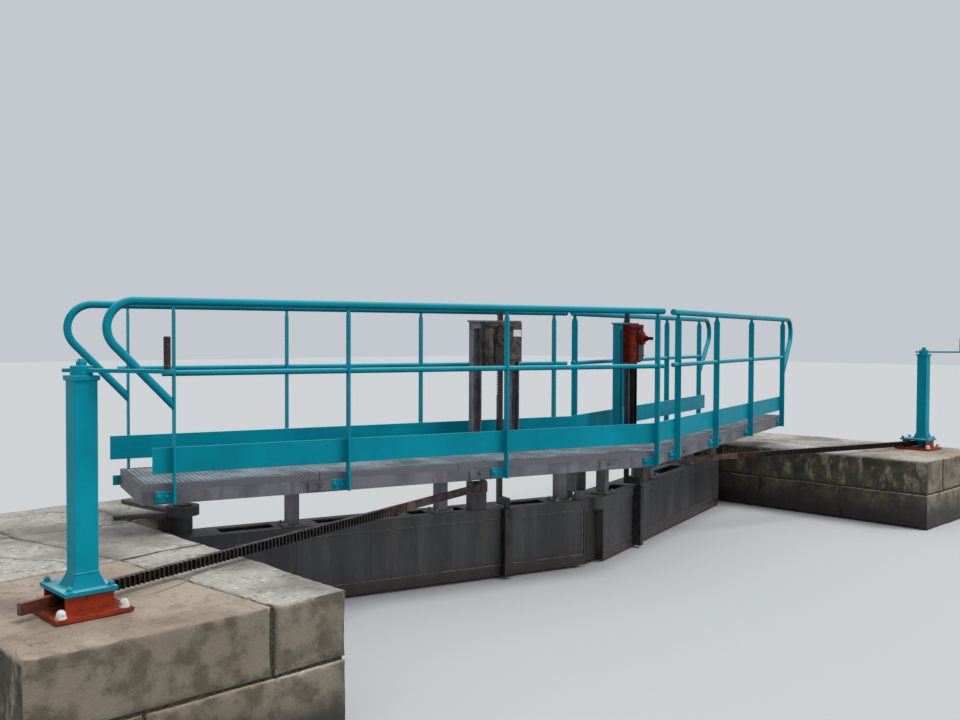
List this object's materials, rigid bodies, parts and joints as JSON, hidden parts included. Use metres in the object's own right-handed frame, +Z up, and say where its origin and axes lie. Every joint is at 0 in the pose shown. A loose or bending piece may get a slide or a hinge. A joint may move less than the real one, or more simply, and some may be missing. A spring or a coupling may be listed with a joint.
{
  "type": "canal lock gate",
  "caption": "Pair of low steel mitre gates across a narrow lock, with railed grating walkways, paddle gear and bank winches that draw toothed racks.",
  "frame": {"origin": "at water level on the lock's centre line, half way along the bank walls", "axes": "+X across the lock to the far bank, +Y down river, -Y into the chamber, +Z up"},
  "size_m": [9.52, 3.12, 2.024],
  "materials": {
    "stone": "weathered, with stains along the joints",
    "turquoise_paint": "satin paint with rust at the edges",
    "dark_steel": "dark paint with streaks, algae and rust",
    "grey_steel": "matte grey paint",
    "galvanised_steel": "dull galvanised",
    "red_brown_steel": "red-brown primer, greasy",
    "greased_steel": "black grease over rusty steel",
    "timber": "wet dark timber",
    "gear_grey": "mottled weathered grey",
    "gear_red": "red oxide primer",
    "grip_rubber": "dark, worn"
  },
  "bodies": {
    "site": {"near_abutment": "stone", "near_heel_bearings": "dark_steel", "near_rack_housing": "red_brown_steel", "near_crank_column": "turquoise_paint", "far_abutment": "stone", "far_heel_bearings": "dark_steel", "far_rack_housing": "red_brown_steel", "far_crank_column": "turquoise_paint"},
    "near_leaf": {"near_heel_post": "dark_steel", "near_leaf_frame": "dark_steel", "near_leaf_skin": "dark_steel", "near_mitre_post": "timber", "near_rack_bracket": "dark_steel", "near_walkway_supports": "grey_steel", "near_walkway_frame": "grey_steel", "near_grating": "galvanised_steel", "near_railing_posts": "turquoise_paint", "near_rails": "turquoise_paint", "near_toe_boards": "turquoise_paint", "near_paddle_frame": "gear_grey", "near_paddle_gearbox": "gear_grey", "near_paddle_guide": "greased_steel"},
    "near_rack": {"near_rack": "greased_steel"},
    "near_crank": {"near_crank": "turquoise_paint", "near_crank_grip": "grip_rubber"},
    "near_paddle": {"near_paddle_rod": "greased_steel"},
    "far_leaf": {"far_heel_post": "dark_steel", "far_leaf_frame": "dark_steel", "far_leaf_skin": "dark_steel", "far_mitre_post": "timber", "far_rack_bracket": "dark_steel", "far_walkway_supports": "grey_steel", "far_walkway_frame": "grey_steel", "far_grating": "galvanised_steel", "far_railing_posts": "turquoise_paint", "far_rails": "turquoise_paint", "far_toe_boards": "turquoise_paint", "far_paddle_frame": "turquoise_paint", "far_paddle_gearbox": "gear_red", "far_paddle_guide": "greased_steel"},
    "far_rack": {"far_rack": "greased_steel"},
    "far_crank": {"far_crank": "turquoise_paint", "far_crank_grip": "grip_rubber"},
    "far_paddle": {"far_paddle_rod": "greased_steel"}
  },
  "joints": [
    {"name": "near_leaf_swing", "type": "hinge", "parent": "site", "child": "near_leaf", "pos_m": [-3.02, 0.66, 0.6], "axis": [0, 0, 1], "range_deg": [-74, 0]},
    {"name": "near_rack_pin", "type": "hinge", "parent": "near_leaf", "child": "near_rack", "pos_m": [-1.0336, -0.07522, 0.705], "axis": [0, 0, 1], "range_deg": [0, 38]},
    {"name": "near_crank_turn", "type": "hinge", "parent": "site", "child": "near_crank", "pos_m": [-4.355, -1.1, 1.2], "axis": [0, 0, 1], "range_deg": [0, 3216]},
    {"name": "near_paddle_lift", "type": "slide", "parent": "near_leaf", "child": "near_paddle", "axis": [0, 0, 1], "range_m": [0, 0.35]},
    {"name": "far_leaf_swing", "type": "hinge", "parent": "site", "child": "far_leaf", "pos_m": [3.02, 0.66, 0.6], "axis": [0, 0, 1], "range_deg": [0, 74]},
    {"name": "far_rack_pin", "type": "hinge", "parent": "far_leaf", "child": "far_rack", "pos_m": [1.0336, -0.07522, 0.705], "axis": [0, 0, 1], "range_deg": [-38, 0]},
    {"name": "far_crank_turn", "type": "hinge", "parent": "site", "child": "far_crank", "pos_m": [4.355, -1.1, 1.2], "axis": [0, 0, 1], "range_deg": [-3216, 0]},
    {"name": "far_paddle_lift", "type": "slide", "parent": "far_leaf", "child": "far_paddle", "axis": [0, 0, 1], "range_m": [0, 0.35]}
  ],
  "couplings": [
    {"joint": "near_rack_pin", "follows": "near_leaf_swing", "ratio": -0.51},
    {"joint": "near_crank_turn", "follows": "near_leaf_swing", "ratio": -43.44},
    {"joint": "far_rack_pin", "follows": "far_leaf_swing", "ratio": -0.51},
    {"joint": "far_crank_turn", "follows": "far_leaf_swing", "ratio": -43.44}
  ]
}
